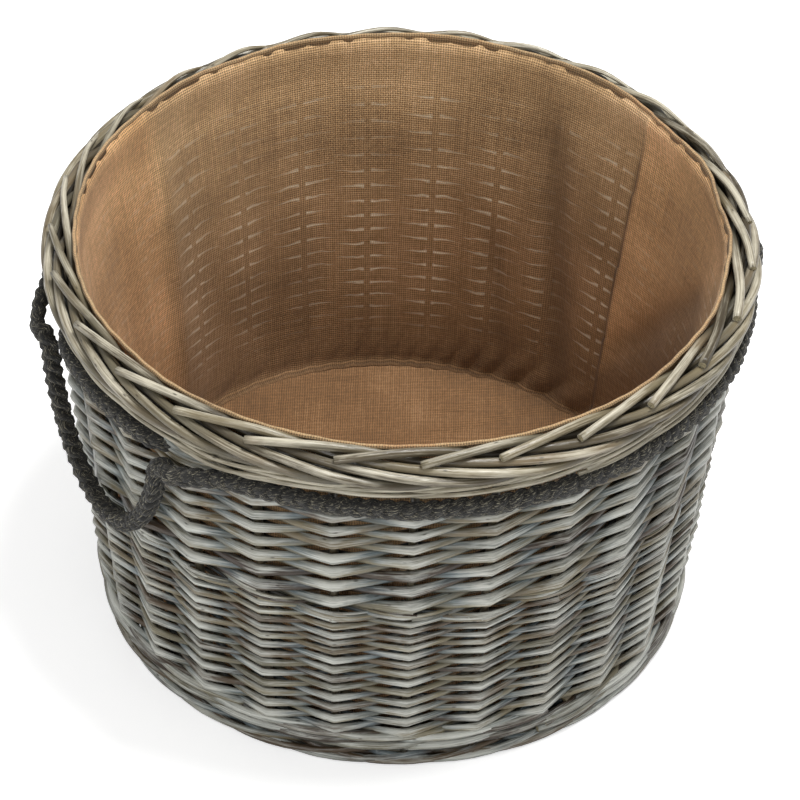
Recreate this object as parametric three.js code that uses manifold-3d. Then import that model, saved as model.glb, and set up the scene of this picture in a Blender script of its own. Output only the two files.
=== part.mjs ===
// Round wicker log basket with a cloth lining and two rope handles.
// Millimetres, +Z up. The origin is on the floor, under the middle of the base.
// Azimuths are measured from +X towards +Y, and the front of the basket faces -Y.

import * as THREE from 'three';
import { mergeVertices } from 'three/addons/utils/BufferGeometryUtils.js';
import Module from 'manifold-3d';

const wasm = await Module();
wasm.setup();

// Driving dimensions

const stakeCount = 27; // upright willow rods round the side
const rodDiameter = 7.6; // a stake, and the border rod that its upper end becomes
const weaverThickness = 7; // a rod of the side weave
const floorStakeRadius = 235; // stake centres at the floor
const rimStakeRadius = 272; // stake centres where they bend into the border
const firstStakeAngle = THREE.MathUtils.degToRad(300);
const stakeFoot = 2; // cut end of a stake above the floor

const fit = 0.3; // gap between pieces that rest on or pass through one another

const footHeight = 12; // rolled foot border under the base
const footLedge = 8; // how far the foot border reaches in under the base
const upsetHeight = 33; // heavy wale that turns the stakes up
const lowerBandHeight = 132; // first band of side weave
const upperBandHeight = 122; // second band of side weave
const upperCourses = 7; // strokes one above another in front of each stake, in the second band
const ropeWidth = 17; // rope in the wall, along the stakes
const ropeThickness = 13; // the same rope, pressed flat against the stakes
const waleHeight = 12; // thin rods under the border

const stickDiameter = 9; // a rod of the base cross
const sticksEachWay = 4;
const slathOpening = 27; // inner radius of the base weave, round the cross

const handleRopeDiameter = 15;
const handleSpanStakes = 3; // stakes from one end of a handle to the other
const leftHandleAngle = THREE.MathUtils.degToRad(213.333);
const handleStandOut = 12; // where a handle leaves the wall, its rope's distance out from the rope in the wall
const handleDrop = 8; // and its distance below it
const handleStraight = 5; // straight end of the wall rope, in line with the handle's hinge line

const liningThickness = 1.8;
const hemThickness = 3.2; // the turned-over top edge
const hemWidth = 18;
const hemBelowRim = 8; // top of the hem below the top of the border

// Sizes that follow from them

const stakePitch = 2 * Math.PI / stakeCount;
const rodRadius = rodDiameter / 2;
const weaveDepth = rodRadius + weaverThickness; // from a stake's centre to the face of the weave
const upsetBottom = footHeight + fit;
const lowerBandBottom = upsetBottom + upsetHeight + fit;
const upperBandBottom = lowerBandBottom + lowerBandHeight + fit;
const ropeBottom = upperBandBottom + upperBandHeight + fit;
const waleBottom = ropeBottom + ropeWidth + fit;
const borderBottom = waleBottom + waleHeight + fit;
const stickRadius = stickDiameter / 2;
const baseThickness = 2 * stickDiameter + 3 * fit;

function wallRadius(z) {
  return floorStakeRadius + (rimStakeRadius - floorStakeRadius) * z / borderBottom;
}

function stakeAngle(index) {
  return firstStakeAngle + index * stakePitch;
}

function polar(angle, radius, z) {
  return new THREE.Vector3(radius * Math.cos(angle), radius * Math.sin(angle), z);
}

function twoDigits(number) {
  return String(number).padStart(2, '0');
}

// Materials: a grey wash over willow, charcoal rope and brown hessian

function finish(color, roughness) {
  return new THREE.MeshStandardMaterial({ color, roughness, metalness: 0 });
}

const stakeWillow = finish('#aaa28c', 0.62);
const weaveWillow = finish('#96907f', 0.66);
const thinWillow = finish('#b3ac98', 0.64);
const baseWillow = finish('#8a8371', 0.7);
const charcoalRope = finish('#3c3b37', 0.92);
const hessian = finish('#96704b', 0.95);

const basket = new THREE.Group();

function addPiece(name, geometry, material) {
  geometry.deleteAttribute('normal');
  geometry.deleteAttribute('uv');
  const mesh = new THREE.Mesh(mergeVertices(geometry), material);
  mesh.geometry.computeVertexNormals();
  mesh.name = name;
  basket.add(mesh);
  return mesh;
}

// Rods and ropes: a flat-sided section swept along a smooth line with one ring on each route point

const rodSides = 6;
const ropeSides = 8;

function section(sides, width, depth) {
  const corners = Array.from({ length: sides }, (_, i) => {
    const turn = 2 * Math.PI * (i + 1 / 2) / sides;
    return new THREE.Vector2(width / 2 * Math.cos(turn), depth / 2 * Math.sin(turn));
  });
  return new THREE.Shape(corners);
}

function sweep(shape, route) {
  const line = new THREE.CatmullRomCurve3(route);
  line.getUtoTmapping = (share) => share;
  return new THREE.ExtrudeGeometry(shape, {
    steps: route.length - 1, bevelEnabled: false, extrudePath: line,
  });
}

// Border: each stake bends to the left, passes behind one stake, rises in front of three,
// crosses under its neighbours to the inner edge and ends on top of them.
// A lane is the room that one rod takes up. Each row gives the rod's place half a stake further on,
// outwards from the stakes and up from the lowest rods, as shares of a lane.

const lane = rodDiameter + fit;
const lowestLane = borderBottom + rodRadius;
const stakeBend = 1.45 * rodDiameter; // radius of the bend at the top of a stake
const borderLaneShares = [
  [-0.38, 1.02],
  [-1.01, 0.06],
  [-0.05, 0.02],
  [1.02, 0.04],
  [1.5, 0.42],
  [1.6, 1.06],
  [1.32, 1.54],
  [0.8, 1.8],
  [0.26, 2.02],
  [-0.7, 1.54],
  [-0.9, 2.32],
  [-0.42, 2.92],
  [0.4, 3.1],
  [1.34, 2.8],
];
const rowsPerStake = 2;
const bendRings = 3;

const borderTop = lowestLane + Math.max(...borderLaneShares.map(([, up]) => up)) * lane + rodRadius;
const innermostLane = rimStakeRadius + Math.min(...borderLaneShares.map(([out]) => out)) * lane;

function stakeRoute(angle) {
  const route = [polar(angle, wallRadius(stakeFoot), stakeFoot), polar(angle, rimStakeRadius, borderBottom)];
  for (let i = 1; i <= bendRings; i++) {
    const turn = Math.PI / 2 * i / bendRings;
    const along = stakeBend * (1 - Math.cos(turn)) / rimStakeRadius;
    route.push(polar(angle - along, rimStakeRadius, borderBottom + stakeBend * Math.sin(turn)));
  }
  borderLaneShares.forEach(([out, up], i) => {
    const stepsOn = (i + 1) / rowsPerStake;
    route.push(polar(angle - stepsOn * stakePitch, rimStakeRadius + out * lane, lowestLane + up * lane));
  });
  return route;
}

const stakeRod = sweep(section(rodSides, rodDiameter, rodDiameter), stakeRoute(firstStakeAngle));
for (let stake = 0; stake < stakeCount; stake++) {
  addPiece(`stake_${twoDigits(stake + 1)}`, stakeRod.clone().rotateZ(stake * stakePitch), stakeWillow);
}

// Side weave: each band is one closed ring. Its face swells over each stake and draws in between,
// and the stakes stand in the lozenge-shaped gaps that its rods leave.

const outerFacesPerStake = 4; // faces of a ring's outer side, from one stake to the next
const innerFacesPerStake = 2; // and of its inner side
const strokeFacesPerStake = 2; // a stroke is straight on both sides of its stake
const drawnInShare = 0.55; // depth of the weave half way between two stakes
const slotHalfWidth = 12;
const slotHalfDepth = slotHalfWidth * (rodRadius + fit)
  / Math.sqrt(slotHalfWidth ** 2 - (rodRadius + fit) ** 2);

function weaveOutline(radius, depth, facesPerStake) {
  const points = [];
  for (let i = 0; i < stakeCount * facesPerStake; i++) {
    const angle = firstStakeAngle + i * stakePitch / facesPerStake;
    const swell = (1 + Math.cos(2 * Math.PI * i / facesPerStake)) / 2;
    const reach = radius + depth * (drawnInShare + (1 - drawnInShare) * swell);
    points.push(new THREE.Vector2(reach * Math.cos(angle), reach * Math.sin(angle)));
  }
  return points;
}

function stakeSlot(radius, stake) {
  const middle = polar(stakeAngle(stake), radius, 0);
  const outwards = middle.clone().normalize();
  const along = new THREE.Vector3(-outwards.y, outwards.x, 0);
  const corners = [[1, 0], [0, 1], [-1, 0], [0, -1]].map(([out, side]) => middle.clone()
    .addScaledVector(outwards, out * slotHalfDepth).addScaledVector(along, side * slotHalfWidth));
  return corners.map((corner) => new THREE.Vector2(corner.x, corner.y));
}

// Turns an upright ring, drawn from height 0, into one that leans outwards with the wall
function leanOut(ring, bottom) {
  const corner = new THREE.Vector3();
  const place = ring.getAttribute('position');
  for (let i = 0; i < place.count; i++) {
    corner.fromBufferAttribute(place, i);
    const lean = wallRadius(bottom + corner.z) - wallRadius(bottom);
    const outwards = Math.hypot(corner.x, corner.y);
    place.setXYZ(i, corner.x * (1 + lean / outwards), corner.y * (1 + lean / outwards), bottom + corner.z);
  }
  return ring;
}

function weaveRing(bottom, height, innerDepth) {
  const radius = wallRadius(bottom);
  const outline = new THREE.Shape(weaveOutline(radius, weaveDepth, outerFacesPerStake));
  outline.holes.push(new THREE.Path(weaveOutline(radius, -innerDepth, innerFacesPerStake)));
  for (let stake = 0; stake < stakeCount; stake++) {
    outline.holes.push(new THREE.Path(stakeSlot(radius, stake)));
  }
  return leanOut(new THREE.ExtrudeGeometry(outline, { depth: height, bevelEnabled: false }), bottom);
}

function solidFrom(geometry) {
  geometry.deleteAttribute('normal');
  geometry.deleteAttribute('uv');
  const merged = mergeVertices(geometry);
  const mesh = new wasm.Mesh({
    numProp: 3,
    vertProperties: new Float32Array(merged.getAttribute('position').array),
    triVerts: new Uint32Array(merged.index.array),
  });
  return new wasm.Manifold(mesh);
}

function geometryFrom(solid) {
  const { numProp, vertProperties, triVerts } = solid.getMesh();
  const places = new Float32Array(vertProperties.length / numProp * 3);
  for (let i = 0; i < places.length / 3; i++) {
    for (let axis = 0; axis < 3; axis++) places[3 * i + axis] = vertProperties[numProp * i + axis];
  }
  const geometry = new THREE.BufferGeometry();
  geometry.setAttribute('position', new THREE.BufferAttribute(places, 3));
  geometry.setIndex([...triVerts]);
  return geometry;
}

// In a band a rod passes in front of one stake and behind the next, and climbs as it goes. The thick
// rods of the upper band show it most: each stake carries a column of strokes, one for each course,
// with grooves between them.
// Every second ring of corners is a groove. Half way between two stakes only those corners are kept.
function courseDrum(bottom, height, courses) {
  const radius = wallRadius(bottom);
  const strokeReach = radius + weaveDepth;
  const grooveReach = radius + drawnInShare * weaveDepth;
  const ringGap = height / (2 * courses);
  const outline = new THREE.Shape(weaveOutline(radius, weaveDepth, strokeFacesPerStake));
  const drum = new THREE.ExtrudeGeometry(outline, { depth: height, bevelEnabled: false, steps: 2 * courses });
  const corner = new THREE.Vector3();
  const place = drum.getAttribute('position');
  for (let i = 0; i < place.count; i++) {
    corner.fromBufferAttribute(place, i);
    const inGroove = Math.round(corner.z / ringGap) % 2 === 0;
    const overStake = Math.hypot(corner.x, corner.y) > (strokeReach + grooveReach) / 2;
    const drawIn = inGroove && overStake ? grooveReach / strokeReach : 1;
    const lower = inGroove || overStake ? 0 : ringGap;
    place.setXYZ(i, corner.x * drawIn, corner.y * drawIn, corner.z - lower);
  }
  return leanOut(drum, bottom);
}

function courseRing(bottom, height, courses) {
  const radius = wallRadius(bottom);
  const wayThrough = (points) => solidFrom(leanOut(new THREE.ExtrudeGeometry(new THREE.Shape(points),
    { depth: height + 2 * fit, bevelEnabled: false }).translate(0, 0, -fit), bottom));
  let ring = solidFrom(courseDrum(bottom, height, courses))
    .subtract(wayThrough(weaveOutline(radius, -weaveDepth, innerFacesPerStake)));
  for (let stake = 0; stake < stakeCount; stake++) ring = ring.subtract(wayThrough(stakeSlot(radius, stake)));
  return geometryFrom(ring);
}

addPiece('foot_border', weaveRing(0, footHeight, weaveDepth + footLedge), weaveWillow);
addPiece('upset_wale', weaveRing(upsetBottom, upsetHeight, weaveDepth), weaveWillow);
addPiece('lower_side_weave', weaveRing(lowerBandBottom, lowerBandHeight, weaveDepth), weaveWillow);
addPiece('upper_side_weave', courseRing(upperBandBottom, upperBandHeight, upperCourses), weaveWillow);
addPiece('top_wale', weaveRing(waleBottom, waleHeight, weaveDepth), thinWillow);

// Base: two layers of sticks cross in the middle and fan out as spokes through a woven disc

const baseBottom = footHeight + fit;
const baseMiddle = baseBottom + baseThickness / 2;
const baseRadius = wallRadius(baseBottom) - weaveDepth - fit;
const spokeAngle = Math.PI / (2 * sticksEachWay);
const stickSpacing = stickDiameter + fit;
const crossHalfLength = sticksEachWay * stickSpacing / 2 + stickRadius;
const stickReach = baseRadius - stickDiameter;
const stickRouteShares = [[1, 1], [0.35, 1], [0.2, 0.5]]; // shares of the reach, and of the rise to mid-height

function stickRoute(index, quarterTurn, level) {
  const offset = index - (sticksEachWay - 1) / 2;
  const ray = offset * spokeAngle;
  const fan = stickRouteShares.map(([reachShare, riseShare]) => [
    stickReach * reachShare * Math.cos(ray), stickReach * reachShare * Math.sin(ray),
    level + (baseMiddle - level) * riseShare,
  ]);
  fan.push([crossHalfLength, offset * stickSpacing, level]);
  const mirrored = fan.map(([x, y, z]) => [-x, y, z]).reverse();
  const turn = quarterTurn ? Math.PI / 2 : 0;
  return [...fan, ...mirrored].map(([x, y, z]) => new THREE.Vector3(
    x * Math.cos(turn) - y * Math.sin(turn), x * Math.sin(turn) + y * Math.cos(turn), z,
  ));
}

const stickRoutes = [];
for (const quarterTurn of [false, true]) {
  const level = baseMiddle + (quarterTurn ? 1 : -1) * stickSpacing / 2;
  for (let i = 0; i < sticksEachWay; i++) stickRoutes.push(stickRoute(i, quarterTurn, level));
}

stickRoutes.forEach((route, i) => {
  addPiece(`base_stick_${i + 1}`, sweep(section(rodSides, stickDiameter, stickDiameter), route), baseWillow);
});

function ringProfile(corners) {
  return [...corners, corners[0]].map(([radius, z]) => new THREE.Vector2(radius, z));
}

// A lathe's ring of corners starts on +Y, so it is turned to put one corner on each stake
function turned(profile, segments) {
  const ring = new THREE.LatheGeometry(profile, segments);
  ring.rotateX(Math.PI / 2);
  ring.rotateZ(firstStakeAngle + Math.PI / 2);
  return ring;
}

const ringSegments = 2 * stakeCount;
const baseTop = baseBottom + baseThickness;
const gapSides = 4; // the weavers leave a square gap round a stick
const gapWidth = (stickDiameter + 2 * fit) / Math.cos(Math.PI / gapSides);
const clearStick = section(gapSides, gapWidth, gapWidth);
let baseWeave = solidFrom(turned(ringProfile([
  [slathOpening, baseBottom], [baseRadius, baseBottom], [baseRadius, baseTop], [slathOpening, baseTop],
]), ringSegments));
for (const route of stickRoutes) baseWeave = baseWeave.subtract(solidFrom(sweep(clearStick, route)));
addPiece('base_weave', geometryFrom(baseWeave), baseWillow);

// Lining: a floor disc sewn into a wall that hangs from a turned-over hem inside the border

const liningBottom = baseTop + fit;
const liningFloorRadius = wallRadius(liningBottom) - weaveDepth - fit;
const liningRimRadius = innermostLane - rodRadius - fit;
const hemTop = borderTop - hemBelowRim;
const hemBottom = hemTop - hemWidth;
const liningShoulder = borderBottom * (liningRimRadius + weaveDepth + fit - floorStakeRadius)
  / (rimStakeRadius - floorStakeRadius); // where the lining turns upright, clear of the border rods

addPiece('lining_wall', turned(ringProfile([
  [liningFloorRadius, liningBottom],
  [liningRimRadius, liningShoulder],
  [liningRimRadius, hemTop],
  [liningRimRadius - hemThickness, hemTop],
  [liningRimRadius - hemThickness, hemBottom],
  [liningRimRadius - liningThickness, hemBottom - hemThickness],
  [liningRimRadius - liningThickness, liningShoulder],
  [liningFloorRadius - liningThickness, liningBottom],
]), ringSegments), hessian);

const floorClothRadius = liningFloorRadius - liningThickness - fit;
addPiece('lining_floor', turned([
  [0, liningBottom], [floorClothRadius, liningBottom],
  [floorClothRadius, liningBottom + liningThickness], [0, liningBottom + liningThickness],
].map(([radius, z]) => new THREE.Vector2(radius, z)), ringSegments), hessian);

// Rope: it lies in the wall, in front of the stakes, and comes out as a hanging handle on each side.
// The hinge line of a handle joins the two points where its rope leaves the wall.

const ropeMiddle = ropeBottom + ropeWidth / 2;
const ropeRadius = wallRadius(waleBottom) + rodRadius + fit + ropeThickness / 2;
const hingeHeight = ropeMiddle - handleDrop;
const halfSpan = handleSpanStakes * stakePitch / 2;
const hingeDistance = (ropeRadius + handleStandOut) * Math.cos(halfSpan); // from the basket's axis
const hingeHalfLength = (ropeRadius + handleStandOut) * Math.sin(halfSpan);
const halfTurn = Math.PI;
const rightHandleAngle = leftHandleAngle + halfTurn;

// A place beside a handle's hinge line: along it from its middle, and down from it
function besideHinge(handleAngle, along, down) {
  return polar(handleAngle, hingeDistance, hingeHeight - down)
    .add(polar(handleAngle + halfTurn / 2, along, 0));
}

// Way from a hinge end back into the wall, as shares of a stake pitch, the stand-out and the drop
const turnInShares = [[0.36, 0.8, 0.34], [0.68, 0.26, 0], [1, 0, 0]];

function turnIn(handleAngle, side) {
  const ends = [hingeHalfLength, hingeHalfLength + handleStraight];
  const straight = ends.map((along) => besideHinge(handleAngle, side * along, 0));
  const bend = turnInShares.map(([along, out, down]) => polar(
    handleAngle + side * (halfSpan + along * stakePitch),
    ropeRadius + out * handleStandOut, ropeMiddle - down * handleDrop,
  ));
  return [...straight, ...bend];
}

const ringsPerStake = 2; // rings of a wall rope's sweep

function wallRope(fromHandle, toHandle) {
  const inWall = [];
  const steps = Math.round(ringsPerStake * ((toHandle - fromHandle - 2 * halfSpan) / stakePitch - 2));
  for (let i = 1; i < steps; i++) {
    const angle = fromHandle + halfSpan + (1 + i / ringsPerStake) * stakePitch;
    inWall.push(polar(angle, ropeRadius, ropeMiddle));
  }
  return [...turnIn(fromHandle, 1), ...inWall, ...turnIn(toHandle, -1).reverse()];
}

// The rope also fills the wall behind each handle, between the places where it turns out
function bridgeRope(handleAngle) {
  const ends = halfSpan - stakePitch / 2;
  const count = ringsPerStake * (handleSpanStakes - 1);
  return Array.from({ length: count + 1 }, (_, i) => polar(handleAngle - ends + 2 * ends * i / count,
    ropeRadius, ropeMiddle));
}

// Half of a handle's route from its lowest point up to one end, chosen by eye.
// Shares of the hinge line's half length: along it from its middle, and down from it.
const handleRouteShares = [
  [0, 1.14], [0.26, 1.07], [0.48, 0.9], [0.64, 0.68], [0.75, 0.45], [0.81, 0.26],
  [0.83, 0.14], [0.865, 0.045], [0.93, 0],
];

function handleRope(handleAngle) {
  const half = handleRouteShares.map(([along, down]) => [along * hingeHalfLength, down * hingeHalfLength]);
  half.push([hingeHalfLength - fit, 0]);
  const mirrored = half.slice(1).reverse().map(([along, down]) => [-along, down]);
  return [...mirrored, ...half].map(([along, down]) => besideHinge(handleAngle, along, down));
}

const acrossFlats = 1 / Math.cos(Math.PI / ropeSides);
const wallSection = section(ropeSides, ropeWidth * acrossFlats, ropeThickness * acrossFlats);
const handleSection = section(ropeSides, handleRopeDiameter * acrossFlats, handleRopeDiameter * acrossFlats);
addPiece('rope_front', sweep(wallSection, wallRope(leftHandleAngle, rightHandleAngle)), charcoalRope);
addPiece('rope_back', sweep(wallSection, wallRope(rightHandleAngle, leftHandleAngle + 2 * halfTurn)), charcoalRope);
addPiece('rope_bridge_left', sweep(wallSection, bridgeRope(leftHandleAngle)), charcoalRope);
addPiece('rope_bridge_right', sweep(wallSection, bridgeRope(rightHandleAngle)), charcoalRope);
addPiece('rope_handle_left', sweep(handleSection, handleRope(leftHandleAngle)), charcoalRope);
addPiece('rope_handle_right', sweep(handleSection, handleRope(rightHandleAngle)), charcoalRope);

export default basket;
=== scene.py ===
# %% [markdown]
# # A round willow log basket
#
# The basket stands about 36 cm high and 58 cm wide. Willow stakes rise from a woven base, weavers
# fill the side, and the stakes end as a plaited border. A plaited rope lies in the wall under the
# border and comes out at both sides as a handle, and hessian lines the inside.
# The imported CAD model gives every place and size. Most CAD pieces stay hidden here behind a piece
# that is made rod by rod, so that it looks woven and not moulded. The sticks of the base stay as they
# are.

# %% Load the frame
import math
import random

import bmesh
import bpy
import numpy as np
from mathutils import Matrix, Quaternion, Vector


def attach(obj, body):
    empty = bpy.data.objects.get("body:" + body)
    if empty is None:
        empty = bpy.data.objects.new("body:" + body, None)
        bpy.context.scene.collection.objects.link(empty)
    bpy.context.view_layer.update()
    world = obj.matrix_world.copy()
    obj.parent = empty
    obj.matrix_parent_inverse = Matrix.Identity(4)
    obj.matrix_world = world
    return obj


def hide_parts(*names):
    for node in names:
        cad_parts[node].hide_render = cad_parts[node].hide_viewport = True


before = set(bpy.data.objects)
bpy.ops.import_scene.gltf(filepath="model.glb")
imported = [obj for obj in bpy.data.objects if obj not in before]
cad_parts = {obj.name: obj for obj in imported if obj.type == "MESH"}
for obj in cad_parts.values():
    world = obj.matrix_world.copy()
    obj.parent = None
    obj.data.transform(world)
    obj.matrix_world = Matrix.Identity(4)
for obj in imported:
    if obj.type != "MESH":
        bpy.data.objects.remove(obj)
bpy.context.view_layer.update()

# %% [markdown]
# The basket's own measures come first. They repeat the CAD source's values, in metres, and every
# rod below is placed from them. Azimuths run from +X towards +Y, and the front faces -Y.

# %% Measures of the basket
STAKES = 27
PITCH = 2 * math.pi / STAKES
FIRST_STAKE = math.radians(300)
ROD = 0.0076
LANE = ROD + 0.0003
RIM_RADIUS = 0.272
BORDER_BOTTOM = 0.3298
LOWEST_LANE = BORDER_BOTTOM + ROD / 2


def wall_radius(z):
    """Distance of the stakes' centres from the basket's axis at a height."""
    return 0.235 + (RIM_RADIUS - 0.235) * z / BORDER_BOTTOM


def polar(angle, radius, z):
    return Vector((radius * math.cos(angle), radius * math.sin(angle), z))


def stake_angle(steps):
    return FIRST_STAKE + steps * PITCH


print("stakes", STAKES, "stake pitch at the rim", round(RIM_RADIUS * PITCH * 1000, 1), "mm")

# %% [markdown]
# The camera looks down into the basket from about forty degrees, as the photograph does, from far
# away with a long lens, which keeps the base almost as wide as the border. It leans by under two
# degrees.

# %% Camera
ELEVATION = math.radians(40.34)
ROLL = math.radians(1.68)
CAMERA_TARGET = Vector((0, 0, 0.1803))
CAMERA_DISTANCE = 3.90

across = Vector((1, 0, 0))
ahead = Vector((0, math.cos(ELEVATION), -math.sin(ELEVATION)))
upwards = Vector((0, math.sin(ELEVATION), math.cos(ELEVATION)))
leaning_across = math.cos(ROLL) * across + math.sin(ROLL) * upwards
leaning_up = math.cos(ROLL) * upwards - math.sin(ROLL) * across

camera = bpy.data.objects.new("camera", bpy.data.cameras.new("camera"))
camera.matrix_world = Matrix.Translation(CAMERA_TARGET - ahead * CAMERA_DISTANCE) @ Matrix(
    (leaning_across, leaning_up, -ahead)).transposed().to_4x4()
camera.data.sensor_width = 36
camera.data.lens = 213.4
camera.data.shift_x = 0.0034
camera.data.clip_end = 50
bpy.context.scene.collection.objects.link(camera)
bpy.context.scene.camera = camera
print("camera", [round(x, 3) for x in camera.location])

# %% [markdown]
# Every rod and rope is a section that follows a route. A rod could be a curve with a bevel, but the
# willow finish needs to know where each point lies along and across its own rod, so the rods are
# grown ring by ring: a circle, then one extruded ring for each station of the route. Each point
# keeps its place in the rod ("grain"), the rod's own shade ("tone") and how far it stands out of
# the weave. That last value carries real wear and painted light both: where it is high the wash is
# rubbed away to pale wood, partly as a painted highlight, and where it is low the finish paints
# shade into the hollows of the weave.

# %% Routes and rods
def through(points, between):
    """A smooth route through the points, with a number of steps between each two."""
    ends = [2 * points[0] - points[1], *points, 2 * points[-1] - points[-2]]
    route = []
    for i in range(1, len(ends) - 2):
        a, b, c, d = ends[i - 1:i + 3]
        for k in range(between):
            t = k / between
            route.append(0.5 * (2 * b + (c - a) * t + (2 * a - 5 * b + 4 * c - d) * t * t
                                + (3 * b - a - 3 * c + d) * t ** 3))
    return [*route, points[-1].copy()]


def stations(route, width, depth, upright):
    """A placing matrix for each point of a route: the section's x is kept near upright."""
    places = []
    side = None
    for i, point in enumerate(route):
        along = (route[min(i + 1, len(route) - 1)] - route[max(i - 1, 0)]).normalized()
        side = upright(i, along) if callable(upright) else (upright if side is None else side)
        side = (side - along * side.dot(along)).normalized()
        turn = Matrix((side, along.cross(side), along)).transposed().to_4x4()
        size = Matrix.Diagonal((width(i) / 2, depth(i) / 2, 1, 1))
        places.append(Matrix.Translation(point) @ turn @ size)
    return places


def grow_rod(places, sides, tone, wear_and_shade, grain_start=0.0, cut=0.08):
    """A rod as a mesh: one ring of points at each place, with its ends closed by small cut faces."""
    rod = bmesh.new()
    layers = {"grain": rod.verts.layers.float_vector.new("grain"),
              "tone": rod.verts.layers.float.new("tone"),
              "wear_and_shade": rod.verts.layers.float.new("wear_and_shade")}
    bmesh.ops.create_circle(rod, cap_ends=True, radius=1, segments=sides, matrix=places[0])
    edges = list(rod.edges)
    ring = list(rod.verts)
    length = grain_start
    for i, place in enumerate(places):
        if i:
            grown = bmesh.ops.extrude_edge_only(rod, edges=edges)["geom"]
            ring = [x for x in grown if isinstance(x, bmesh.types.BMVert)]
            fresh = set(ring)
            edges = [x for x in grown if isinstance(x, bmesh.types.BMEdge)
                     and x.verts[0] in fresh and x.verts[1] in fresh]
            bmesh.ops.transform(rod, matrix=place @ places[i - 1].inverted(), verts=ring)
            length += (place.translation - places[i - 1].translation).length
        middle, turn = place.translation, place.to_3x3()
        across_x, across_y = turn.col[0].normalized(), turn.col[1].normalized()
        for vert in ring:
            offset = vert.co - middle
            vert[layers["grain"]] = Vector((length, offset.dot(across_x), offset.dot(across_y)))
            vert[layers["tone"]] = tone
            vert[layers["wear_and_shade"]] = wear_and_shade(i)
    bmesh.ops.contextual_create(rod, geom=edges)
    caps = [face for face in rod.faces if len(face.verts) == sides and sides > 4]
    if cut:
        bmesh.ops.inset_region(rod, faces=caps, thickness=cut * places[0].to_scale().x,
                               depth=cut * places[0].to_scale().x / 2, use_even_offset=True)
    for face in rod.faces:
        face.smooth = len(face.verts) != sides
        face.material_index = int(cut > 0 and len(face.verts) == sides)
    bmesh.ops.recalc_face_normals(rod, faces=rod.faces)
    mesh = bpy.data.meshes.new("rod")
    rod.to_mesh(mesh)
    rod.free()
    return mesh


def gather(name, meshes, materials, replaced=(), body="basket"):
    """Joins meshes into one piece that rides on a body and stands for its CAD nodes."""
    whole = bmesh.new()
    whole.verts.layers.float_vector.new("grain")
    whole.verts.layers.float.new("tone")
    whole.verts.layers.float.new("wear_and_shade")
    for mesh in meshes:
        whole.from_mesh(mesh)
        bpy.data.meshes.remove(mesh)
    data = bpy.data.meshes.new(name)
    whole.to_mesh(data)
    whole.free()
    piece = bpy.data.objects.new(name, data)
    bpy.context.scene.collection.objects.link(piece)
    for material in materials:
        data.materials.append(material)
    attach(piece, body)
    if replaced:
        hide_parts(*replaced)
    data.calc_loop_triangles()
    print(name, len(data.loop_triangles), "triangles")
    return piece


# %% [markdown]
# Materials are node trees. One small function adds a node, sets its own properties and fills or
# links its sockets, and one more turns an sRGB hex colour into the linear colour that nodes hold.

# %% Node and colour helpers
def srgb(code, alpha=1.0):
    parts = [int(code[i:i + 2], 16) / 255 for i in (1, 3, 5)]
    return [p / 12.92 if p <= 0.04045 else ((p + 0.055) / 1.055) ** 2.4 for p in parts] + [alpha]


def node(tree, kind, sockets=None, **settings):
    made = tree.nodes.new(kind)
    for name, value in settings.items():
        setattr(made, name, value)
    for name, value in (sockets or {}).items():
        if isinstance(value, bpy.types.NodeSocket):
            tree.links.new(value, made.inputs[name])
        else:
            made.inputs[name].default_value = value
    return made


def new_material(name):
    material = bpy.data.materials.new(name)
    material.use_nodes = True
    material.node_tree.nodes.clear()
    return material, material.node_tree


def ramp(tree, factor, stops):
    made = node(tree, "ShaderNodeValToRGB", {"Fac": factor})
    while len(made.color_ramp.elements) < len(stops):
        made.color_ramp.elements.new(0.5)
    for element, (place, color) in zip(made.color_ramp.elements, stops):
        element.position = place
        element.color = color if not isinstance(color, str) else srgb(color)
    return made
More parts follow.
